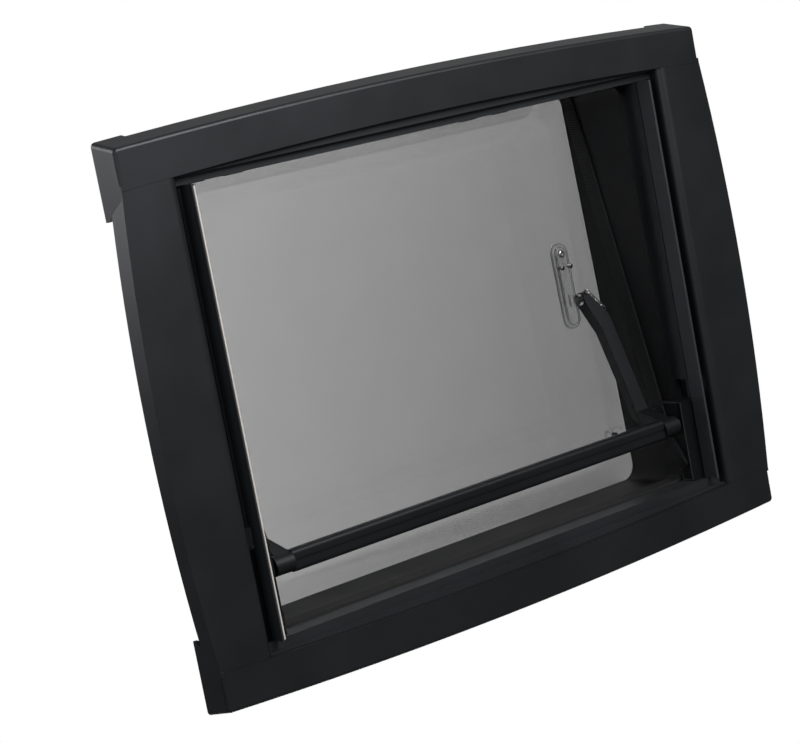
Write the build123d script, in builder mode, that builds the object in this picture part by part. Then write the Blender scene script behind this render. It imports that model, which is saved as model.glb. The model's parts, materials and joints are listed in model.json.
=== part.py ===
"""Camper roof hatch: interior frame, outer frame with a sloped kerb, hinged dome and stay bow.

Millimetres, +Z up and out of the vehicle, +Y towards the hinge side.
Origin in the middle of the roof opening, on the face that lies on the roof skin.
"""
import os
from math import atan2, cos, degrees, radians, sin, sqrt, tan

from build123d import *

# Clear opening inside the interior frame
opening_length = 620.0
opening_width = 474.0
rail_reveal = 7.5
guide_ledge = 9.0
guide_front = 8.0
guide_step = 8.0
slot_width = 17.5
slot_floor = 8.0
slot_wall = 7.5
pull_bar_thickness = 3.5
pull_bar_depth = 20.0
pull_bar_front = 1.5
wall_strip_front = 120.0
wall_strip_height = 20.0

# Interior frame
bar_width = 42.0
bar_bow = 11.0
bar_flare = 8.5
bar_depth = 35.0
bar_corner = 5.0
bar_edge_round = 4.0
ear_depth = 43.0
ear_length = 36.0
tongue_thickness = 4.0
tongue_reach = 29.0
tongue_shoulder = 8.5
tongue_lead = 2.0
tongue_heel = 5.0
box_width = 65.0
box_bow = 12.5
box_face_depth = 25.0
box_back_inset = 18.0
box_edge_round = 10.0
seam = 0.2
roof_skin = 6.0

# Outer frame
kerb_inset_x = 9.0
kerb_inset_y = -0.5
kerb_wall = 3.5
kerb_corner = 16.0
kerb_rear_height = 95.0
kerb_front_height = 12.0
foot_width = 15.0
flange_reach = 50.0
flange_thickness = 4.0
flange_corner = 40.0

# Kerb gasket
gasket_inner_leg = 2.5
gasket_outer_leg = 2.0
gasket_inner_height = 20.0
gasket_outer_height = 6.0
gasket_bulb = 5.0

# Lid, drawn closed
lid_fall = 1.7
lid_gap = 1.0
lid_overhang = 5.5
lid_corner = 28.0
skirt_wall = 3.0
sheet = 3.0
crown_inset = 30.0
crown_slope = 24.0
crown_height = 36.0

# Lid hinges
hinge_reach = 15.0
hinge_drop = 6.0
hinge_radius = 6.0
hinge_pin_radius = 2.5
hinge_from_end = 122.0
knuckle_length = 24.0
knuckle_gap = 0.6
pin_clearance = 0.05
hinge_base_height = 40.0
hinge_base_below = 14.0
strap_length = 30.0
strap_thickness = 3.0
lid_rear_gap = 9.0

# Arm plates on the lid
plate_length = 105.0
plate_width = 26.0
plate_thickness = 5.0
plate_rim = 4.5
plate_step = 2.0
plate_inset = 47.0
plate_ahead = 18.0
pivot_from_hinge = 266.5
pivot_drop = 14.0
pivot_radius = 3.0
pivot_ear_width = 5.0
pivot_ear_radius = 7.0

# Stay bow
arm_inset = 35.0
arm_width = 18.0
arm_top_radius = 8.0
arm_shoulder = 27.0
nose_reach = 9.0
nose_width = 7.0
nose_taper = 44.0
arm_elbow_radius = 6.5
arm_foot_radius = 11.0
elbow_behind_grip = 16.0
elbow_above_grip = 41.0
grip_behind_opening = 69.0
grip_above_face = 35.0
grip_width = 24.0
grip_height = 14.0
grip_round = 5.0
grip_groove = 3.0
knob_radius = 11.0
knob_length = 5.0
spring_radius = 4.5
spring_lead = 6.0
spring_length = 26.0

# Front corner brackets
bracket_length = 96.0
bracket_height = 19.0
bracket_reach = 16.0
bracket_plate = 3.5
bracket_rise = 16.0
bracket_nose = 14.0
lever_radius = 6.0
lever_thickness = 4.0
lever_back = 48.0
lever_front = 21.0
lever_lift = 6.0
lever_drop = 8.0

# Clear clips on the lid
clip_length = 22.0
clip_width = 14.0
clip_height = 9.0
clip_inset = 21.0
clip_behind_front = 68.0
clip_groove = 8.0
clip_wall = 3.0

# Places worked out from the sizes above
front_z = -roof_skin - ear_depth
half_opening_x = opening_length / 2
half_opening_y = opening_width / 2
bar_inner = half_opening_y + rail_reveal
half_width = bar_inner + bar_width
box_inner = half_opening_x + slot_width
half_length = box_inner + box_width
slot_wall_x = half_opening_x + slot_wall
half_kerb_x = half_opening_x - kerb_inset_x
half_kerb_y = half_opening_y - kerb_inset_y
kerb_length = 2 * half_kerb_x
kerb_width = 2 * half_kerb_y
kerb_slope = degrees(atan2(kerb_rear_height - kerb_front_height, kerb_width))
kerb_middle = (kerb_rear_height + kerb_front_height) / 2
slope_up = (0, -sin(radians(kerb_slope)), cos(radians(kerb_slope)))
kerb_top = Plane(origin=(0, 0, kerb_middle), x_dir=(1, 0, 0), z_dir=slope_up)
seal_top = kerb_top.offset(gasket_bulb)
gasket_out = kerb_wall + gasket_outer_leg

# The panes fall less than the kerb does, so the lid pieces are placed from the hinge axis
lid_back = Vector(0, cos(radians(lid_fall)), sin(radians(lid_fall)))
lid_up = Vector(0, -sin(radians(lid_fall)), cos(radians(lid_fall)))
hinge_y = half_kerb_y + gasket_out + hinge_reach
hinge_lift = (gasket_bulb + lid_gap - hinge_drop) / cos(radians(kerb_slope))
hinge_z = kerb_middle + hinge_y * tan(radians(kerb_slope)) + hinge_lift
hinge_point = Vector(0, hinge_y, hinge_z)
lid_half_length = half_kerb_x + gasket_out + lid_overhang
lid_front = hinge_y + half_kerb_y + gasket_out + lid_overhang
lid_depth = lid_front - lid_rear_gap


def lid_point(back, up):
    return hinge_point + lid_back * back + lid_up * up


def lid_plane(back, up):
    return Plane(origin=lid_point(back, up), x_dir=(1, 0, 0), z_dir=lid_up)


def section_plane(x):
    return Plane(origin=(x, 0, 0), x_dir=(0, 1, 0), z_dir=(1, 0, 0))


def save(piece, name):
    piece.part.label = name
    export_step(piece.part, f"parts/{name}.step")


def bar_edge(x):
    radius = (half_length**2 + bar_bow**2) / (2 * bar_bow)
    return bar_inner + bar_bow - radius + sqrt(radius**2 - x**2)


os.makedirs("parts", exist_ok=True)


# Side tongues of the end caps, which lap over the ends of the side boxes
def tongue_outline(side):
    foot = front_z + ear_depth
    tip = bar_inner - tongue_reach
    corners = (
        (bar_inner + bar_corner, front_z),
        (bar_inner, front_z),
        (bar_inner - tongue_shoulder, front_z + tongue_lead),
        (tip, foot - tongue_heel),
        (tip, foot),
        (bar_inner + bar_corner, foot),
    )
    return [(side * y, z) for y, z in corners]


# Bowed bars with flared outer faces and deeper end caps
def bar_outline(side, level, flare):
    with BuildSketch(Plane.XY.offset(level)) as outline:
        with BuildLine():
            outer = half_width + flare
            ThreePointArc(
                (-half_length, side * bar_inner),
                (0, side * (bar_inner + bar_bow)),
                (half_length, side * bar_inner),
            )
            Line((half_length, side * bar_inner), (half_length, side * outer))
            ThreePointArc(
                (half_length, side * outer), (0, side * (outer + bar_bow)), (-half_length, side * outer)
            )
            Line((-half_length, side * outer), (-half_length, side * bar_inner))
        make_face()
    return outline.sketch


def bowed_bar(side):
    with BuildPart() as bar:
        loft([bar_outline(side, front_z, 0), bar_outline(side, front_z + ear_depth, bar_flare)])
        upright = bar.edges().filter_by(lambda edge: edge.bounding_box().size.X < seam)
        corners = upright.filter_by(lambda edge: edge.bounding_box().size.Z > bar_depth)
        fillet(corners.sort_by(Axis.Y)[::-side][:2], bar_corner)
        rim = bar.faces().sort_by(Axis.Z)[0].edges().sort_by(Axis.Y)[::-side]
        fillet(rim[0], bar_edge_round)
        with BuildSketch(Plane.XY.offset(front_z + bar_depth)):
            Rectangle(2 * (half_length - ear_length), 4 * half_width)
        extrude(amount=ear_depth, mode=Mode.SUBTRACT)
        for end in (-1, 1):
            with BuildSketch(section_plane(end * (half_length - tongue_thickness))):
                with BuildLine():
                    Polyline(*tongue_outline(side), close=True)
                make_face()
            extrude(amount=end * tongue_thickness)
    return bar


for side, name in ((1, "rear_bar"), (-1, "front_bar")):
    save(bowed_bar(side), name)


# Side boxes that hold the rolled blind and the rolled screen
def side_box(side):
    def strip(inner_x, outer_x):
        low = (side * inner_x, bar_edge(inner_x) - seam)
        high = (side * outer_x, bar_edge(outer_x) - seam)
        return [low, high, (high[0], -high[1]), (low[0], -low[1])]

    with BuildPart() as box:
        face = strip(box_inner, half_length)
        with BuildSketch(Plane.XY.offset(front_z)):
            with BuildLine():
                Polyline(face[2], face[3], face[0], face[1])
                ThreePointArc(face[1], (side * (half_length + box_bow), 0), face[2])
            make_face()
        extrude(amount=box_face_depth)
        inner_edges = box.edges().filter_by(Axis.Y).group_by(Axis.Z)[0]
        fillet(inner_edges, box_edge_round)
        with BuildSketch(Plane.XY.offset(front_z + box_face_depth)):
            with BuildLine():
                Polyline(*strip(box_inner, half_length - box_back_inset), close=True)
            make_face()
        extrude(amount=ear_depth - box_face_depth)
        with BuildSketch(Plane.XY.offset(front_z + ear_depth - slot_floor)):
            with BuildLine():
                Polyline(*strip(slot_wall_x, box_inner), close=True)
            make_face()
        extrude(amount=slot_floor)
        for end in (-1, 1):
            with BuildSketch(section_plane(side * (half_length - tongue_thickness - seam))):
                with BuildLine():
                    Polyline(*tongue_outline(end), close=True)
                make_face()
                offset(amount=seam)
            extrude(amount=side * (tongue_thickness + box_bow), mode=Mode.SUBTRACT)
    return box


for side, name in ((1, "blind_box"), (-1, "screen_box")):
    save(side_box(side), name)


# Stepped guide rails between the bars and the opening
def guide_rail(side):
    run = box_inner - seam
    ends = bar_edge(run) - seam
    crest = bar_edge(0) - seam
    ledges = (
        (guide_front, half_opening_y + guide_ledge),
        (guide_front + guide_step, half_opening_y),
    )
    with BuildPart() as rail:
        for start, edge in ledges:
            with BuildSketch(Plane.XY.offset(front_z + start)):
                with BuildLine():
                    Polyline(
                        (run, side * ends), (run, side * edge), (-run, side * edge), (-run, side * ends)
                    )
                    ThreePointArc((-run, side * ends), (0, side * crest), (run, side * ends))
                make_face()
            extrude(amount=bar_depth - start)
        with BuildSketch(Plane.XY.offset(front_z + bar_depth)):
            with Locations((0, side * (half_opening_y + guide_ledge / 2))):
                Rectangle(2 * (slot_wall_x - seam), guide_ledge)
        extrude(amount=ear_depth - bar_depth)
    return rail


for side, name in ((1, "rear_guide_rail"), (-1, "front_guide_rail")):
    save(guide_rail(side), name)


# Pull bars parked in the slots of the side boxes
def pull_bar(side):
    with BuildPart() as bar:
        with BuildSketch(Plane.XY.offset(front_z + pull_bar_front)):
            with Locations((side * (half_opening_x + pull_bar_thickness / 2), 0)):
                Rectangle(pull_bar_thickness, opening_width - 2 * seam)
        extrude(amount=pull_bar_depth)
    return bar


for side, name in ((1, "blind_pull_bar"), (-1, "screen_pull_bar")):
    save(pull_bar(side), name)


# Strips on the side walls, from the rear rail to the corner brackets
def wall_strip(side):
    with BuildPart() as wall:
        with BuildSketch(Plane.XY.offset(-roof_skin - wall_strip_height)):
            with Locations((side * half_opening_x, half_opening_y - seam)):
                thickness = slot_wall - seam
                align = (Align.MIN if side > 0 else Align.MAX, Align.MAX)
                Rectangle(thickness, opening_width - wall_strip_front, align=align)
        extrude(amount=wall_strip_height)
    return wall


for side, name in ((1, "left_wall_strip"), (-1, "right_wall_strip")):
    save(wall_strip(side), name)


# Outer frame: flange on the roof, foot in the roof opening, kerb wall that rises to the hinge side
kerb_stock = kerb_rear_height + kerb_wall
with BuildPart() as outer_frame:
    with BuildSketch():
        RectangleRounded(
            kerb_length + 2 * flange_reach, kerb_width + 2 * flange_reach, flange_corner
        )
        RectangleRounded(kerb_length, kerb_width, kerb_corner, mode=Mode.SUBTRACT)
    extrude(amount=flange_thickness)
    with BuildSketch(Plane.XY.offset(-roof_skin)):
        RectangleRounded(
            kerb_length + 2 * foot_width, kerb_width + 2 * foot_width, kerb_corner + foot_width
        )
        RectangleRounded(kerb_length, kerb_width, kerb_corner, mode=Mode.SUBTRACT)
    extrude(amount=roof_skin)
    with BuildSketch():
        RectangleRounded(
            kerb_length + 2 * kerb_wall, kerb_width + 2 * kerb_wall, kerb_corner + kerb_wall
        )
        RectangleRounded(kerb_length, kerb_width, kerb_corner, mode=Mode.SUBTRACT)
    extrude(amount=kerb_stock)
    split(bisect_by=kerb_top, keep=Keep.BOTTOM)
save(outer_frame, "outer_frame")


# Rubber gasket pushed over the top of the kerb wall
def kerb_ring(outward, inward, bottom, top):
    with BuildPart() as ring:
        with BuildSketch(Plane.XY.offset(-roof_skin)):
            RectangleRounded(
                kerb_length + 2 * outward, kerb_width + 2 * outward, kerb_corner + outward
            )
            RectangleRounded(
                kerb_length - 2 * inward,
                kerb_width - 2 * inward,
                kerb_corner - inward,
                mode=Mode.SUBTRACT,
            )
        extrude(amount=2 * kerb_stock)
        split(bisect_by=bottom, keep=Keep.TOP)
        split(bisect_by=top, keep=Keep.BOTTOM)
    return ring


inner_leg = kerb_ring(0, gasket_inner_leg, kerb_top.offset(gasket_bulb - gasket_inner_height), seal_top)
bulb = kerb_ring(kerb_wall, 0, kerb_top, seal_top)
outer_leg = kerb_ring(gasket_out, -kerb_wall, kerb_top.offset(-gasket_outer_height), seal_top)
with BuildPart() as kerb_gasket:
    add(inner_leg.part)
    add(bulb.part)
    add(outer_leg.part)
save(kerb_gasket, "kerb_gasket")


# Lid: wedge-shaped skirt, flat inner pane, outer dome welded to its border
def lid_outline(up, shrink):
    with BuildSketch(lid_plane(-lid_rear_gap - lid_depth / 2, up)) as outline:
        RectangleRounded(2 * (lid_half_length - shrink), lid_depth - 2 * shrink, lid_corner)
    return outline.sketch


skirt_inward = skirt_wall - gasket_out
lid_skirt = kerb_ring(gasket_out, skirt_inward, seal_top.offset(lid_gap), lid_plane(0, hinge_drop))
save(lid_skirt, "lid_skirt")
with BuildPart() as lid_inner_pane:
    add(lid_outline(hinge_drop, 0))
    extrude(amount=sheet, dir=lid_up)
save(lid_inner_pane, "lid_inner_pane")

border = hinge_drop + sheet
crown = border + crown_height
with BuildPart() as lid_dome:
    add(lid_outline(border, 0))
    extrude(amount=sheet, dir=lid_up)
    loft([lid_outline(border + sheet, crown_inset), lid_outline(crown, crown_inset + crown_slope)])
    inner_crown = lid_outline(crown - sheet, crown_inset + crown_slope + sheet)
    loft([lid_outline(border, crown_inset + sheet), inner_crown], mode=Mode.SUBTRACT)
save(lid_dome, "lid_dome")


# Hinges: a base on the rear kerb wall and a strap on the lid, with a pin through both
def hinge_base(x):
    with BuildPart() as base:
        with BuildSketch(section_plane(x - knuckle_length / 2)):
            with BuildLine():
                wall_y = half_kerb_y + kerb_wall
                top = hinge_z - hinge_base_below
                Polyline(
                    (wall_y, top - hinge_base_height),
                    (hinge_y + hinge_radius, hinge_z),
                    (hinge_y - hinge_radius, hinge_z),
                    (wall_y, top),
                    close=True,
                )
            make_face()
            with Locations((hinge_y, hinge_z)):
                Circle(hinge_radius)
                Circle(hinge_pin_radius + pin_clearance, mode=Mode.SUBTRACT)
        extrude(amount=knuckle_length)
    return base


def hinge_strap(x):
    strap_up = hinge_drop + 2 * sheet
    with BuildPart() as strap:
        for edge in (x - 1.5 * knuckle_length - knuckle_gap, x + knuckle_length / 2 + knuckle_gap):
            with BuildSketch(Plane(origin=(edge, hinge_y, hinge_z), x_dir=lid_back, z_dir=(1, 0, 0))):
                with BuildLine():
                    Polyline(
                        (-strap_length, strap_up),
                        (-strap_length, strap_up + strap_thickness),
                        (0, strap_up + strap_thickness),
                        (hinge_radius, 0),
                        (-hinge_radius, 0),
                        (-lid_rear_gap + knuckle_gap, strap_up),
                        close=True,
                    )
                make_face()
                Circle(hinge_radius)
                Circle(hinge_pin_radius, mode=Mode.SUBTRACT)
            extrude(amount=knuckle_length)
    return strap


def hinge_pin(x):
    with BuildPart() as pin:
        start = x - 1.5 * knuckle_length - knuckle_gap
        with BuildSketch(section_plane(start)):
            with Locations((hinge_y, hinge_z)):
                Circle(hinge_pin_radius)
        extrude(amount=3 * knuckle_length + 2 * knuckle_gap)
    return pin


for side, word in ((1, "left"), (-1, "right")):
    hinge_x = side * (lid_half_length - hinge_from_end)
    save(hinge_base(hinge_x), f"{word}_hinge_base")
    save(hinge_strap(hinge_x), f"{word}_hinge_strap")
    save(hinge_pin(hinge_x), f"{word}_hinge_pin")


# Clear oblong plates under the lid border, each with an ear and a pin for the bow
pivot_up = hinge_drop - plate_thickness - pivot_drop
pivot = lid_point(-pivot_from_hinge, pivot_up)
plate_offset = half_kerb_x - plate_inset
clip_offset = half_kerb_x - clip_inset
arm_inner = half_kerb_x - arm_inset
arm_outer = arm_inner + arm_width


def arm_plate(side):
    with BuildPart() as plate:
        for start, rim in ((plate_step, 0), (plate_thickness, plate_rim)):
            with BuildSketch(lid_plane(-pivot_from_hinge + plate_ahead, hinge_drop - start)):
                with Locations((side * plate_offset, 0)):
                    SlotOverall(plate_length - 2 * rim, plate_width - 2 * rim, rotation=90)
            extrude(amount=start)
        start = side * plate_offset - pivot_ear_width / 2
        with BuildSketch(Plane(origin=(start, pivot.Y, pivot.Z), x_dir=lid_back, z_dir=(1, 0, 0))):
            with Locations((0, pivot_drop / 2)):
                Rectangle(2 * pivot_ear_radius, pivot_drop)
            Circle(pivot_ear_radius)
            Circle(pivot_radius, mode=Mode.SUBTRACT)
        extrude(amount=pivot_ear_width)
    return plate


def pivot_pin(side):
    with BuildPart() as pin:
        start = side * (plate_offset - pivot_ear_width / 2)
        with BuildSketch(section_plane(start)):
            with Locations((pivot.Y, pivot.Z)):
                Circle(pivot_radius)
        extrude(amount=side * (arm_inner - plate_offset + pivot_ear_width / 2))
    return pin


def lid_clip(side):
    with BuildPart() as clip:
        level = lid_plane(clip_behind_front - lid_front, hinge_drop - clip_height)
        with BuildSketch(level):
            with Locations((side * clip_offset, 0)):
                Rectangle(clip_length, clip_width)
        extrude(amount=clip_height)
        with BuildSketch(level):
            with Locations((side * clip_offset, 0)):
                Rectangle(clip_length, clip_groove)
        extrude(amount=clip_height - clip_wall, mode=Mode.SUBTRACT)
    return clip


# Stay bow: two arms whose noses lean in to the pivots, the grip bar between them, a knob on each end
grip_y = -half_opening_y + grip_behind_opening
grip_z = front_z + grip_above_face
elbow_y = grip_y + elbow_behind_grip
elbow_z = grip_z + elbow_above_grip
arm_run = Vector(0, elbow_y - pivot.Y, elbow_z - pivot.Z).normalized()
arm_plan = Plane(origin=pivot, x_dir=arm_run, z_dir=(0, arm_run.Z, -arm_run.Y))
arm_reach = (Vector(0, grip_y, grip_z) - pivot).length + arm_foot_radius
nose_inner = arm_inner - nose_reach
nose_outer = nose_inner + nose_width


def bow_arm(side):
    with BuildPart() as arm:
        with BuildSketch(section_plane(side * nose_inner)):
            with BuildLine() as upper:
                CenterArc((pivot.Y, pivot.Z), arm_top_radius, 0, 360)
                CenterArc((elbow_y, elbow_z), arm_elbow_radius, 0, 360)
            make_hull(upper.edges())
            with BuildLine() as lower:
                CenterArc((elbow_y, elbow_z), arm_elbow_radius, 0, 360)
                CenterArc((grip_y, grip_z), arm_foot_radius, 0, 360)
            make_hull(lower.edges())
            with Locations((pivot.Y, pivot.Z)):
                Circle(pivot_radius + pin_clearance, mode=Mode.SUBTRACT)
        extrude(amount=side * (arm_outer - nose_inner))
        with BuildSketch(arm_plan):
            with BuildLine():
                Polyline(
                    (-arm_top_radius, side * nose_inner),
                    (-arm_top_radius, side * nose_outer),
                    (arm_shoulder, side * arm_outer),
                    (arm_reach, side * arm_outer),
                    (arm_reach, side * arm_inner),
                    (nose_taper, side * arm_inner),
                    (arm_top_radius, side * nose_inner),
                    close=True,
                )
            make_face()
        extrude(amount=arm_reach, both=True, mode=Mode.INTERSECT)
    return arm


def bow_knob(side):
    with BuildPart() as knob:
        with BuildSketch(section_plane(side * arm_outer)):
            with Locations((grip_y, grip_z)):
                Circle(knob_radius)
        extrude(amount=side * knob_length)
    return knob


def bow_spring(side):
    slant = Vector(arm_shoulder + arm_top_radius, arm_outer - nose_outer).normalized()
    outward = Vector(-slant.Y, slant.X) * (spring_radius + seam)
    start = Vector(-arm_top_radius, nose_outer) + slant * spring_lead + outward
    tail = start + slant * spring_length
    start_point = arm_plan.from_local_coords(Vector(start.X, side * start.Y))
    tail_point = arm_plan.from_local_coords(Vector(tail.X, side * tail.Y))
    with BuildPart() as spring:
        with BuildSketch(Plane(origin=start_point, z_dir=tail_point - start_point)):
            Circle(spring_radius)
        extrude(amount=spring_length)
    return spring


with BuildPart() as bow_grip:
    with BuildSketch(section_plane(-arm_inner)):
        with Locations((grip_y, grip_z)):
            RectangleRounded(grip_width, grip_height, grip_round)
        with Locations((grip_y, grip_z - grip_height / 2)):
            Rectangle(grip_groove, grip_groove, mode=Mode.SUBTRACT)
    extrude(amount=2 * arm_inner)
save(bow_grip, "bow_grip")


# Corner brackets where the grip bar parks, each with an upright and a catch lever
def corner_bracket(side):
    inner = side * (half_opening_x - bracket_reach)
    front = -half_opening_y + seam
    top = -roof_skin - seam
    base = top - bracket_height
    with BuildPart() as bracket:
        with BuildSketch(Plane.XY.offset(base)):
            with Locations((inner, front)):
                align = (Align.MIN if side > 0 else Align.MAX, Align.MIN)
                Rectangle(bracket_reach + slot_wall - seam, bracket_length, align=align)
        extrude(amount=bracket_height)
        with BuildSketch(section_plane(inner)):
            with BuildLine():
                Polyline(
                    (front, base),
                    (front + bracket_length, base),
                    (front + bracket_length, top + bracket_rise),
                    (front + bracket_nose, top),
                    (front, top),
                    close=True,
                )
            make_face()
        extrude(amount=side * bracket_plate)
        with BuildSketch(section_plane(inner)):
            with BuildLine() as lever:
                CenterArc((front + lever_back, top + lever_lift), lever_radius, 0, 360)
                CenterArc((front + lever_front, top - lever_drop), lever_radius, 0, 360)
            make_hull(lever.edges())
        extrude(amount=-side * lever_thickness)
    return bracket


for side, word in ((1, "left"), (-1, "right")):
    save(arm_plate(side), f"{word}_arm_plate")
    save(pivot_pin(side), f"{word}_pivot_pin")
    save(lid_clip(side), f"{word}_lid_clip")
    save(bow_arm(side), f"{word}_bow_arm")
    save(bow_knob(side), f"{word}_bow_knob")
    save(bow_spring(side), f"{word}_bow_spring")
    save(corner_bracket(side), f"{word}_corner_bracket")
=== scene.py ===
import json
from math import cos, pi, radians, sin, tan

import bmesh
import bpy
from mathutils import Euler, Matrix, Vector


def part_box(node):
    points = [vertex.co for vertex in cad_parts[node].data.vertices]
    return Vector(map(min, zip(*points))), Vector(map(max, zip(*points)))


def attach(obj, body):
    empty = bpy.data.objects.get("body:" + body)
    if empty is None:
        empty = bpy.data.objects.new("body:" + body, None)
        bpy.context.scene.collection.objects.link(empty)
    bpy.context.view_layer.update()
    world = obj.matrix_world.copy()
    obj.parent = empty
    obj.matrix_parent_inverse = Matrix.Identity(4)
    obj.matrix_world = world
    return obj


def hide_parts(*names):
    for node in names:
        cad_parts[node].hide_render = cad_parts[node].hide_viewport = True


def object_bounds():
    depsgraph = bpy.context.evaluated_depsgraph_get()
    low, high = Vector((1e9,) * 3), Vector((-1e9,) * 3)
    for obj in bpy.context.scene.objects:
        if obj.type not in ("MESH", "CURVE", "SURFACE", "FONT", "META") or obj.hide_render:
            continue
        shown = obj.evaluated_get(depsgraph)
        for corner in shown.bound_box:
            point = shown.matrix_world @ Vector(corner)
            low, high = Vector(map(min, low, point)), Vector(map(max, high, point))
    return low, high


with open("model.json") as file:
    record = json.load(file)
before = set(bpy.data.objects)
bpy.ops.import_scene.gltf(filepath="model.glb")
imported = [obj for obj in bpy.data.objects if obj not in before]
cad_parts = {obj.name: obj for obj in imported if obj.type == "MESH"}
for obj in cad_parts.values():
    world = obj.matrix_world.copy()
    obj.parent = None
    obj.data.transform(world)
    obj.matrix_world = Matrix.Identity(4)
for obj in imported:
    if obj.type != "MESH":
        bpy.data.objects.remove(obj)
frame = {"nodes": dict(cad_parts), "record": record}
cadLow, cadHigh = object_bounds()
nodes = frame["nodes"]
print("frame loaded:", len(nodes), "nodes")


class Val:  # one output socket that can stand in a sum
    def __init__(self, paint, socket):
        self.paint, self.socket = paint, socket

    def __add__(self, other):
        return self.paint.sum("ADD", self, other)

    def __radd__(self, other):
        return self.paint.sum("ADD", other, self)

    def __sub__(self, other):
        return self.paint.sum("SUBTRACT", self, other)

    def __rsub__(self, other):
        return self.paint.sum("SUBTRACT", other, self)

    def __mul__(self, other):
        return self.paint.sum("MULTIPLY", self, other)

    def __rmul__(self, other):
        return self.paint.sum("MULTIPLY", other, self)

    def __truediv__(self, other):
        return self.paint.sum("DIVIDE", self, other)

    def __gt__(self, other):
        return self.paint.sum("GREATER_THAN", self, other)

    def __lt__(self, other):
        return self.paint.sum("LESS_THAN", self, other)

    def __abs__(self):
        return self.paint.sum("ABSOLUTE", self)


class Paint:  # a node tree that is filled by short calls
    def __init__(self, owner):
        owner.use_nodes = True
        self.owner, self.tree = owner, owner.node_tree
        self.tree.nodes.clear()

    def add(self, kind, settings=None, sockets=None, out=0):
        made = self.tree.nodes.new(kind)
        for key, value in (settings or {}).items():
            if key == "stops":
                ramp = made.color_ramp
                while len(ramp.elements) < len(value):
                    ramp.elements.new(0.5)
                for element, (place, colour) in zip(ramp.elements, value):
                    element.position, element.color = place, (*colour, 1)
            else:
                setattr(made, key, value)
        for key, value in (sockets or {}).items():
            if isinstance(value, Val):
                self.tree.links.new(value.socket, made.inputs[key])
            else:
                made.inputs[key].default_value = value
        if isinstance(out, tuple):
            return [Val(self, made.outputs[key]) for key in out]
        return Val(self, made.outputs[out]) if len(made.outputs) else made

    def sum(self, operation, *terms):
        return self.add("ShaderNodeMath", {"operation": operation}, dict(enumerate(terms)))

    def mix(self, factor, first, second):
        sockets = {0: factor, 6: first, 7: second}
        return self.add("ShaderNodeMix", {"data_type": "RGBA"}, sockets, 2)

    def place(self):
        return self.add("ShaderNodeTexCoord", out="Object")

    def noise(self, scale, detail=2.0, rough=0.5, where=None):
        sockets = {"Vector": where or self.place(), "Scale": scale, "Detail": detail, "Roughness": rough}
        return self.add("ShaderNodeTexNoise", None, sockets, 0)

    def spread(self, value, low, high):  # 0..1 noise to a range
        return self.add("ShaderNodeMapRange", None, {0: value, 1: 0.3, 2: 0.7, 3: low, 4: high})

    def bump(self, height, strength, distance):
        sockets = {"Strength": strength, "Distance": distance, "Height": height}
        return self.add("ShaderNodeBump", None, sockets)

    def finish(self, shader):
        kind = "World" if isinstance(self.owner, bpy.types.World) else "Material"
        self.add("ShaderNodeOutput" + kind, None, {"Surface": shader})
        return self.owner


def newPaint(name):
    return Paint(bpy.data.materials.new(name))


def rgb(level, warm=0.0):
    return (level * (1 + warm), level, level * (1 - warm), 1)


# moulded black plastic: a fine spark grain, slow changes of tone and gloss, a cool cast
moulded = {"warm": -0.12, "cloud": 9.0, "glossSwing": 0.04, "grainSwing": 0.08, "tint": (0.93, 0.94, 1.0, 1)}


def mouldedPlastic(name, look):
    paint = newPaint(name)
    grain = paint.noise(look["grain"], 3.0, 0.6)
    cloud = paint.noise(moulded["cloud"], 3.0, 0.55)
    warm, swing = look.get("warm", moulded["warm"]), moulded["glossSwing"]
    colour = paint.mix(paint.spread(cloud, 0.0, 1.0), rgb(look["dark"], warm), rgb(look["light"], warm))
    gloss = paint.spread(cloud, look["rough"] - swing, look["rough"] + swing)
    gloss = gloss + (grain - 0.5) * moulded["grainSwing"]
    shader = paint.add("ShaderNodeBsdfPrincipled", None, {
        "Base Color": colour, "Roughness": gloss, "IOR": 1.5, "Specular IOR Level": look["shine"],
        "Specular Tint": moulded["tint"],
        "Normal": paint.bump(grain, look["bump"], 0.0002)})
    return paint.finish(shader)


interiorLook = {"dark": 0.0075, "light": 0.0105, "rough": 0.42, "shine": 0.5, "grain": 1500.0, "bump": 0.18}
guideLook = {"dark": 0.013, "light": 0.017, "rough": 0.5, "shine": 0.4, "grain": 1300.0, "bump": 0.2}
pullBarLook = {"dark": 0.03, "light": 0.036, "rough": 0.45, "shine": 0.4, "grain": 1300.0, "bump": 0.15}
outerLook = {"dark": 0.0035, "light": 0.005, "rough": 0.5, "shine": 0.22, "grain": 1200.0, "bump": 0.2}
bowLook = {"dark": 0.006, "light": 0.008, "rough": 0.48, "shine": 0.3, "grain": 1500.0, "bump": 0.15}
plateRimLook = {"dark": 0.09, "light": 0.13, "rough": 0.3, "shine": 0.5, "grain": 900.0, "bump": 0.05}
# the bracket rims are coloured lighter than the black bracket as a painted highlight along its edges
bracketRimHighlightLook = {"dark": 0.03, "light": 0.04, "rough": 0.3, "shine": 0.6, "grain": 900.0, "bump": 0.1}
ribLook = {"dark": 0.010, "light": 0.016, "rough": 0.6, "shine": 0.4, "grain": 900.0, "bump": 0.2}
# edge beads: the pale one is a painted highlight and the grey one is the same bead in painted shade
beadHighlightLook = {"dark": 0.66, "light": 0.74, "rough": 0.5, "shine": 0.4, "grain": 900.0, "bump": 0.1,
                "warm": 0.07}
beadShadeLook = {"dark": 0.03, "light": 0.04, "rough": 0.45, "shine": 0.5, "grain": 900.0, "bump": 0.1}


# kerb rubber: ribs across the run, with painted shade that darkens the grooves against the crests
gasketLook = {"dark": 0.006, "light": 0.012, "pitch": 0.0028, "rough": 0.7}


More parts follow.
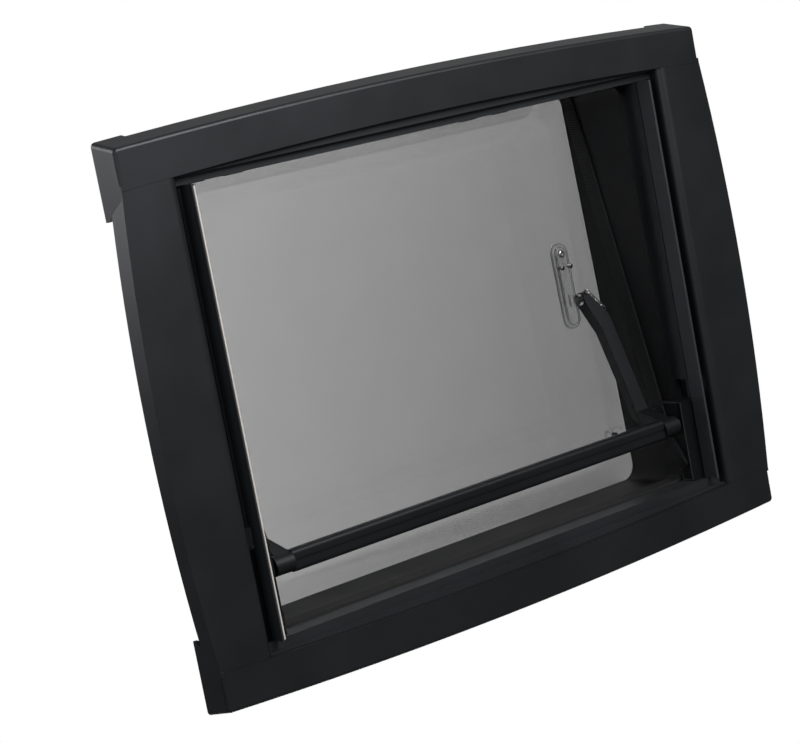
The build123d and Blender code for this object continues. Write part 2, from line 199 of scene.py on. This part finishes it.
def ribbedRubber(name, look):
    paint = newPaint(name)
    runX, runY = paint.add("ShaderNodeSeparateXYZ", None, {0: paint.place()}, (0, 1))
    facing = paint.add("ShaderNodeSeparateXYZ", None, {0: paint.add("ShaderNodeNewGeometry", out="Normal")})
    sideRun = abs(facing) > 0.6
    run = runX * (1 - sideRun) + runY * sideRun
    rib = paint.sum("SINE", run * (2 * pi / look["pitch"])) * 0.5 + 0.5
    # painted shade: the colour is darker in the grooves and lighter on the crests of the ribs
    colour = paint.mix(rib, rgb(look["dark"]), rgb(look["light"]))
    shader = paint.add("ShaderNodeBsdfPrincipled", None, {
        "Base Color": colour, "Roughness": look["rough"], "Specular IOR Level": 0.35,
        "Normal": paint.bump(rib, 0.7, 0.0006)})
    return paint.finish(shader)


# smoke acrylic: thin tinted sheets that hardly bend the light, with a hard gloss coat
smokeLook = {"tint": 0.605, "swing": 0.006, "rough": 0.03, "haze": 0.05}


def smokeSheet(name, look):
    paint = newPaint(name)
    haze = paint.noise(14.0, 4.0, 0.6)
    thin, thick = rgb(look["tint"] - look["swing"]), rgb(look["tint"] + look["swing"])
    tint = paint.mix(paint.spread(haze, 0.0, 1.0), thin, thick)
    shader = paint.add("ShaderNodeBsdfPrincipled", None, {
        "Base Color": tint, "Roughness": paint.spread(haze, look["rough"], look["haze"]), "IOR": 1.02,
        "Transmission Weight": 1.0, "Coat Weight": 0.6, "Coat Roughness": 0.05, "Coat IOR": 1.45})
    return paint.finish(shader)


# clear moulded plastic of the arm plates and clips
clearLook = {"tint": 0.96, "rough": 0.05, "haze": 0.09}


def clearPlastic(name, look):
    paint = newPaint(name)
    haze = paint.noise(160.0, 3.0, 0.6)
    shader = paint.add("ShaderNodeBsdfPrincipled", None, {
        "Base Color": rgb(look["tint"], 0.002),
        "Roughness": paint.spread(haze, look["rough"], look["haze"]),
        "IOR": 1.3, "Transmission Weight": 1.0})
    return paint.finish(shader)


# bare steel for pins, and bright spring wire
pinLook = {"tone": 0.12, "rough": 0.38, "metal": 1.0}
springLook = {"tone": 0.3, "rough": 0.3, "metal": 1.0}
screwLook = {"tone": 0.45, "rough": 0.3, "metal": 1.0}


def plainSteel(name, look):
    paint = newPaint(name)
    streak = paint.noise(420.0, 4.0, 0.6)
    colour = paint.mix(paint.spread(streak, 0.0, 1.0), rgb(look["tone"] * 0.85), rgb(look["tone"] * 1.1))
    shader = paint.add("ShaderNodeBsdfPrincipled", None, {
        "Base Color": colour, "Metallic": look["metal"],
        "Roughness": paint.spread(streak, look["rough"] - 0.06, look["rough"] + 0.08)})
    return paint.finish(shader)


finishes = {
    "interior_plastic": mouldedPlastic("satinBlackMoulding", interiorLook),
    "guide_plastic": mouldedPlastic("matteGuideRail", guideLook),
    "pull_bar_plastic": mouldedPlastic("pullBarMoulding", pullBarLook),
    "outer_plastic": mouldedPlastic("outerFrameMoulding", outerLook),
    "hinge_plastic": mouldedPlastic("hingeMoulding", outerLook),
    "bow_plastic": mouldedPlastic("bowMoulding", bowLook),
    "gasket_rubber": ribbedRubber("ribbedKerbRubber", gasketLook),
    "smoke_dome": smokeSheet("smokeDomeAcrylic", smokeLook),
    "smoke_pane": smokeSheet("smokePaneAcrylic", smokeLook),
    "clear_plastic": clearPlastic("clearPlate", clearLook),
    "pin_steel": plainSteel("darkPinSteel", pinLook),
    "spring_steel": plainSteel("brightSpringWire", springLook),
    "screw_zinc": plainSteel("zincScrew", screwLook),
    "rim_line": mouldedPlastic("plateRimPlastic", plateRimLook),
    "bracket_rim_painted_highlight": mouldedPlastic("bracketRimPaintedHighlight", bracketRimHighlightLook),
    "rib_rubber": mouldedPlastic("kerbRibRubber", ribLook),
    "lit_bead_painted_highlight": mouldedPlastic("edgeBeadPaintedHighlight", beadHighlightLook),
    "bead_painted_shade": mouldedPlastic("edgeBeadPaintedShade", beadShadeLook),
}
for part in frame["record"]["subparts"]:
    mesh = nodes[part["node"]].data
    mesh.materials.clear()
    mesh.materials.append(finishes[part["material_slot"]])
print("finishes set:", len(finishes))


# mesh helpers: a tube along a path, a turned form about an axis
def movingFrames(path, closed):
    count = len(path)
    frames, side = [], None
    for i, point in enumerate(path):
        ahead = path[(i + 1) % count] if closed else path[min(i + 1, count - 1)]
        behind = path[i - 1] if closed else path[max(i - 1, 0)]
        run = (ahead - behind).normalized()
        side = side or run.orthogonal()
        side = (side - run * side.dot(run)).normalized()
        frames.append((point, side, run.cross(side)))
    return frames


def circleRound(bm, centre, side, lift, radius, count):
    turns = (2 * pi * k / count for k in range(count))
    return [bm.verts.new(centre + (side * cos(t) + lift * sin(t)) * radius) for t in turns]


def tube(bm, path, radius, sides=8, closed=False):
    rings = [circleRound(bm, *spot, radius, sides) for spot in movingFrames(path, closed)]
    pairs = list(zip(rings, rings[1:])) + ([(rings[-1], rings[0])] if closed else [])
    for low, high in pairs:
        for k in range(sides):
            bm.faces.new((low[k - 1], low[k], high[k], high[k - 1]))
    if not closed:
        bm.faces.new(rings[0])
        bm.faces.new(rings[-1])


def turned(bm, base, axis, profile, steps=28):
    side = axis.orthogonal().normalized()
    lift = axis.cross(side)
    rings = []
    for radius, height in profile:
        centre = base + axis * height
        if radius:
            rings.append(circleRound(bm, centre, side, lift, radius, steps))
        else:
            rings.append([bm.verts.new(centre)])
    for low, high in zip(rings, rings[1:]):
        for k in range(steps):
            spots = ((low, k), (low, k + 1), (high, k + 1), (high, k))
            corners = [ring[spot % len(ring)] for ring, spot in spots]
            bm.faces.new(list(dict.fromkeys(corners)))  # a point at the tip counts once


def makePiece(name, bm, finish, body):
    bmesh.ops.recalc_face_normals(bm, faces=bm.faces)
    mesh = bpy.data.meshes.new(name)
    bm.to_mesh(mesh)
    bm.free()
    mesh.materials.append(finish)
    mesh.shade_smooth()
    mesh.set_sharp_from_angle(angle=radians(38))
    made = bpy.data.objects.new(name, mesh)
    bpy.context.scene.collection.objects.link(made)
    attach(made, body)
    return made


xAxis = Vector((1, 0, 0))
sides = ((1, "left"), (-1, "right"))

# coil springs of the stay bow, hooked on two pegs of the arm
coil = {"turns": 11, "perTurn": 18, "wire": 0.0006, "gap": 0.0047,
        "hookReach": 0.0048, "hookTurn": 0.85, "hookSteps": 10, "pegShare": 0.7,
        "peg": ((0, -0.0012), (0.0011, -0.0012), (0.0011, 0.0058), (0.0019, 0.0062), (0.0019, 0.0068),
                (0.0013, 0.0075), (0, 0.0075))}


def springEnds(node):  # middles of the two round ends, the pivot end first
    points = [v.co for v in nodes[node].data.vertices]
    middle = sum(points, Vector()) / len(points)
    lean = points[0] - middle
    ends = []
    for way in (1, -1):
        ring = [p for p in points if (p - middle).dot(lean) * way > 0]
        ends.append(sum(ring, Vector()) / len(ring))
    return sorted(ends, key=lambda end: -end.y)


def coilPath(start, end, radius):
    run = (end - start).normalized()
    side = run.orthogonal().normalized()
    lift = run.cross(side)
    count = coil["hookSteps"]
    bends = [pi * coil["hookTurn"] * k / count for k in range(1, count + 1)]
    first = [start + side * radius * cos(b) - run * coil["hookReach"] * sin(b) for b in bends]
    last = [end + side * radius * cos(b) + run * coil["hookReach"] * sin(b) for b in bends]
    steps = coil["turns"] * coil["perTurn"]
    path = first[::-1]
    for k in range(steps + 1):
        t = 2 * pi * k / coil["perTurn"]
        path.append(start.lerp(end, k / steps) + (side * cos(t) + lift * sin(t)) * radius)
    return path + last


for side, word in sides:
    start, end = springEnds(word + "_bow_spring")
    run = (end - start).normalized()
    outward = (xAxis * side - run * run.dot(xAxis * side)).normalized()
    bm = bmesh.new()
    tube(bm, coilPath(start, end, coil["gap"] - 2 * coil["wire"]), coil["wire"])
    spring = makePiece(word + "CoilSpring", bm, finishes["spring_steel"], "bow")
    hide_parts(word + "_bow_spring")
    bm = bmesh.new()
    ahead = run * coil["hookReach"] * coil["pegShare"]
    for foot in (start - ahead, end + ahead):
        turned(bm, foot - outward * coil["gap"], outward, coil["peg"])
    makePiece(word + "SpringPegs", bm, finishes["pin_steel"], "bow")
print("springs wound")

# clear arm plates: raised rims, a screw, two dark posts and a wire hook
plate = {"fall": 1.7, "thickness": 0.005, "step": 0.002, "outer": (0.103, 0.024), "inner": (0.094, 0.015),
         "bead": 0.00055, "screwBack": 0.0395, "postBack": 0.023, "posts": (-0.0065, 0.0065),
         "screw": ((0.0048, -0.001), (0.0048, 0.0006), (0.0040, 0.0017), (0.0024, 0.0022), (0.0021, 0.0021),
                   (0.0018, 0.0009), (0, 0.0009)),
         "post": ((0.0018, -0.001), (0.0018, 0.0040), (0.0028, 0.0044), (0.0028, 0.0058),
                  (0.0021, 0.0064), (0, 0.0066))}
wireHook = {"wire": 0.0006, "radius": 0.0026, "drop": 0.003, "from": 2.6, "turn": 0.4, "steps": 11,
            "middle": (0.010, 0.0012, 0.0), "tail": (0.019, 0.0022, 0.003)}  # forward, inward, down
lidBack = Vector((0, cos(radians(plate["fall"])), sin(radians(plate["fall"]))))
lidDown = Vector((0, sin(radians(plate["fall"])), -cos(radians(plate["fall"]))))


def slotLoop(middle, length, width, perEnd=16):
    radius, reach = width / 2, (length - width) / 2
    loop = []
    for way in (1, -1):
        for k in range(perEnd + 1):
            t = pi * k / perEnd
            loop.append(middle + way * (lidBack * (reach + radius * sin(t)) + xAxis * radius * cos(t)))
    return loop


for side, word in sides:
    low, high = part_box(word + "_arm_plate")
    middle = Vector(((low.x + high.x) / 2, (low.y + high.y) / 2, high.z))
    middle.z -= (high.y - low.y) / 2 * tan(radians(plate["fall"]))  # on the upper face of the plate
    bm = bmesh.new()
    tube(bm, slotLoop(middle + lidDown * plate["step"], *plate["outer"]), plate["bead"], closed=True)
    tube(bm, slotLoop(middle + lidDown * plate["thickness"], *plate["inner"]), plate["bead"], closed=True)
    makePiece(word + "PlateRims", bm, finishes["rim_line"], "lid")
    under = middle + lidDown * plate["thickness"]
    bm = bmesh.new()
    turned(bm, under + lidBack * plate["screwBack"], lidDown, plate["screw"])
    makePiece(word + "PlateScrew", bm, finishes["screw_zinc"], "lid")
    bm = bmesh.new()
    for across in plate["posts"]:
        turned(bm, under + lidBack * plate["postBack"] + xAxis * across, lidDown, plate["post"])
    makePiece(word + "PlatePosts", bm, finishes["pin_steel"], "lid")
    peg = under + lidBack * plate["postBack"] + xAxis * side * plate["posts"][1] + lidDown * wireHook["drop"]
    turns = [wireHook["from"] - wireHook["turn"] * k for k in range(wireHook["steps"])]
    hook = [peg + (lidBack * cos(t) + xAxis * sin(t)) * wireHook["radius"] for t in turns]
    for forward, inward, down in (wireHook["middle"], wireHook["tail"]):
        hook.append(peg - lidBack * forward - xAxis * side * inward + lidDown * down)
    bm = bmesh.new()
    tube(bm, hook, wireHook["wire"])
    makePiece(word + "PlateHook", bm, finishes["spring_steel"], "lid")
print("arm plates dressed")

# posts in the clear lid clips
clip = {"web": 0.0032, "post": ((0.0022, -0.001), (0.0022, 0.0052), (0.0016, 0.0060), (0, 0.0061))}
for side, word in sides:
    low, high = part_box(word + "_lid_clip")
    bm = bmesh.new()
    foot = Vector(((low.x + high.x) / 2, (low.y + high.y) / 2, high.z - clip["web"]))
    turned(bm, foot, lidDown, clip["post"])
    makePiece(word + "ClipPost", bm, finishes["pin_steel"], "lid")

# edge beads along the parked pull bars: the pale bead on the blind pull bar is a painted highlight of light
# through the dome, and the grey bead on the screen pull bar is the same bead in painted shade
bead = {"radius": 0.0009, "endGap": 0.002, "steps": 24}
for node, side, finish in (("blind_pull_bar", 1, "lit_bead_painted_highlight"), ("screen_pull_bar", -1, "bead_painted_shade")):
    low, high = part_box(node)
    edge = low.x if side > 0 else high.x
    bm = bmesh.new()
    run = high.y - low.y - 2 * bead["endGap"]
    start = Vector((edge + side * bead["radius"], low.y + bead["endGap"], low.z))
    path = [start + Vector((0, run * k / bead["steps"], 0)) for k in range(bead["steps"] + 1)]
    tube(bm, path, bead["radius"])
    makePiece(node.replace("_pull_bar", "EdgeBead"), bm, finishes[finish], "frame")

# moulded rims on the uprights of the corner brackets, coloured lighter as a painted highlight along the
# edges
rim = {"lever": 0.004, "rise": 0.016, "nose": 0.014, "inset": 0.0012, "radius": 0.0007, "steps": 6}
for side, word in sides:
    low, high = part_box(word + "_corner_bracket")
    face = (low.x + rim["lever"]) if side > 0 else (high.x - rim["lever"])
    front, back, foot, top, inset = low.y, high.y, low.z, high.z - rim["rise"], rim["inset"]
    corners = ((front + inset, foot + inset), (back - inset, foot + inset),
               (back - inset, high.z - 2 * inset), (front + rim["nose"], top - inset),
               (front + inset, top - inset))
    bm = bmesh.new()
    loop = [Vector((face, *corner)) for corner in corners]
    edges = zip(loop, loop[1:] + loop[:1])
    path = [a.lerp(b, k / rim["steps"]) for a, b in edges for k in range(rim["steps"])]
    tube(bm, path, rim["radius"], closed=True)
    makePiece(word + "BracketRim", bm, finishes["bracket_rim_painted_highlight"], "frame")
print("beads and rims laid")

# raised ribs across the inner leg of the kerb gasket
ribs = {"pitch": 0.0028, "width": 0.0013, "depth": 0.0006, "rear": 0.095, "front": 0.012, "bulb": 0.005,
        "leg": 0.0188, "topGap": 0.0006, "cornerGap": 0.024, "legFace": 0.2985, "kerbHalf": 0.2375}
slope = (ribs["rear"] - ribs["front"]) / (2 * ribs["kerbHalf"])
bm = bmesh.new()
for side, word in sides:
    y = -ribs["kerbHalf"] + ribs["cornerGap"]
    while y < ribs["kerbHalf"] - ribs["cornerGap"]:
        top = (ribs["rear"] + ribs["front"]) / 2 + y * slope + ribs["bulb"] - ribs["topGap"]
        ring = []
        for z in (top - ribs["leg"], top):
            for across, inward in ((-0.5, 0), (0, 1), (0.5, 0)):
                x = side * (ribs["legFace"] - inward * ribs["depth"])
                shift = across * ribs["width"]
                ring.append(bm.verts.new((x, y + shift, z + shift * slope)))
        bm.faces.new((ring[0], ring[1], ring[4], ring[3]))
        bm.faces.new((ring[1], ring[2], ring[5], ring[4]))
        bm.faces.new((ring[2], ring[0], ring[3], ring[5]))
        bm.faces.new(ring[:3])
        bm.faces.new(ring[3:])
        y += ribs["pitch"]
makePiece("gasketRibs", bm, finishes["rib_rubber"], "frame")
print("gasket ribbed")


# studio: pale floor seen from above only, soft lamps, white beyond
studio = {"floorSize": 5.0, "floorTone": 0.85, "fadeFrom": 0.6, "fadeTo": 1.5}


def paleFloor():
    half = studio["floorSize"] / 2
    drop = cadLow.z - 0.0006
    bm = bmesh.new()
    bm.faces.new([bm.verts.new(c) for c in ((-half, -half, drop), (half, -half, drop),
                                             (half, half, drop), (-half, half, drop))])
    mesh = bpy.data.meshes.new("paleFloor")
    bm.to_mesh(mesh)
    bm.free()
    floor = bpy.data.objects.new("paleFloor", mesh)
    bpy.context.scene.collection.objects.link(floor)
    paint = newPaint("paleFloor")
    tone = paint.spread(paint.noise(3.0, 3.0), studio["floorTone"] - 0.01, studio["floorTone"] + 0.01)
    top = paint.add("ShaderNodeBsdfPrincipled", None, {"Base Color": tone, "Roughness": 0.8})
    through = paint.add("ShaderNodeBsdfTransparent")
    reach = paint.add("ShaderNodeVectorMath", {"operation": "LENGTH"}, {0: paint.place()}, "Value")
    fading = {0: reach, 1: studio["fadeFrom"], 2: studio["fadeTo"], 3: 0.0, 4: 1.0}
    fade = paint.add("ShaderNodeMapRange", None, fading)
    below = paint.sum("MAXIMUM", paint.add("ShaderNodeNewGeometry", out="Backfacing"), fade)
    shader = paint.add("ShaderNodeMixShader", None, {0: below, 1: top, 2: through})
    mesh.materials.append(paint.finish(shader))
    floor.visible_shadow = False  # lamps below the floor light the room face
    floor.visible_diffuse = False
    floor.visible_glossy = False


def softLamp(name, place, aim, size, watts):
    lamp = bpy.data.lights.new(name, "AREA")
    lamp.shape, lamp.size, lamp.size_y, lamp.energy = "RECTANGLE", size[0], size[1], watts
    holder = bpy.data.objects.new(name, lamp)
    holder.location = place
    holder.rotation_euler = (Vector(aim) - Vector(place)).to_track_quat("-Z", "Y").to_euler()
    holder.visible_camera = False
    holder.visible_transmission = False
    bpy.context.scene.collection.objects.link(holder)


beyond = {"room": 0.12, "skyLeft": 0.03, "skyRight": 0.33, "ambient": 0.8, "paneLow": 0.55,
          "paneFall": (2.616, 2.946, 1.173)}  # level behind the panes and its change along x and y


def whiteBeyond():  # white to the eye, dim to reflections, a slow fall of light behind the panes
    world = bpy.data.worlds.new("whiteBeyond")
    bpy.context.scene.world = world
    paint = Paint(world)
    away = paint.add("ShaderNodeTexCoord", out="Generated")
    x, y, z = paint.add("ShaderNodeSeparateXYZ", None, {0: away}, (0, 1, 2))
    rays = ("Is Camera Ray", "Is Glossy Ray", "Is Transmission Ray")
    seen, glossy, passed = paint.add("ShaderNodeLightPath", out=rays)
    across = {0: x, 1: -0.6, 2: 0.45, 3: beyond["skyRight"], 4: beyond["skyLeft"]}
    sky = paint.add("ShaderNodeMapRange", None, across)
    up = paint.add("ShaderNodeMapRange", None, {0: z, 1: -0.15, 2: 0.35, 3: 0.0, 4: 1.0})
    around = beyond["room"] * (1 - up) + sky * up
    level, alongX, alongY = beyond["paneFall"]
    fall = paint.sum("MINIMUM", 1.0, level + alongX * x + alongY * y)
    fall = paint.sum("MAXIMUM", beyond["paneLow"], fall)
    unseen = around * (glossy + (1 - glossy) * beyond["ambient"])
    level = seen + (1 - seen) * (passed * fall + (1 - passed) * unseen)
    paint.finish(paint.add("ShaderNodeBackground", None, {"Color": (1, 1, 1, 1), "Strength": level}))


paleFloor()
whiteBeyond()
softLamp("upperSoftbox", (-0.3, 1.3, -1.7), (0.1, 0.1, 0.0), (1.2, 1.0), 45.0)
softLamp("roomFill", (1.6, 0.6, -1.2), (0.0, 0.0, 0.0), (1.2, 1.2), 9.0)
softLamp("skyKey", (-0.9, -1.2, 1.9), (0.0, 0.0, 0.0), (1.4, 1.4), 40.0)
softLamp("skyFill", (1.6, 0.8, 1.3), (0.0, 0.0, 0.0), (1.2, 1.2), 22.0)
print("stage set")

shot = {"place": (1.45654, 0.35425, -1.96924), "turn": (-179.6196, 36.0426, -166.7084), "lens": 101.272,
        "shift": (-0.00356, -0.06506)}
camera = bpy.data.cameras.new("photoCamera")
camera.lens, camera.sensor_width, camera.sensor_fit = shot["lens"], 36.0, "HORIZONTAL"
camera.shift_x, camera.shift_y = shot["shift"]
camera.clip_start, camera.clip_end = 0.05, 50.0
viewer = bpy.data.objects.new("photoCamera", camera)
viewer.location = shot["place"]
viewer.rotation_euler = Euler([radians(a) for a in shot["turn"]], "XYZ")
bpy.context.scene.collection.objects.link(viewer)
bpy.context.scene.camera = viewer
bpy.context.scene.view_settings.view_transform = "Standard"
print("camera set")
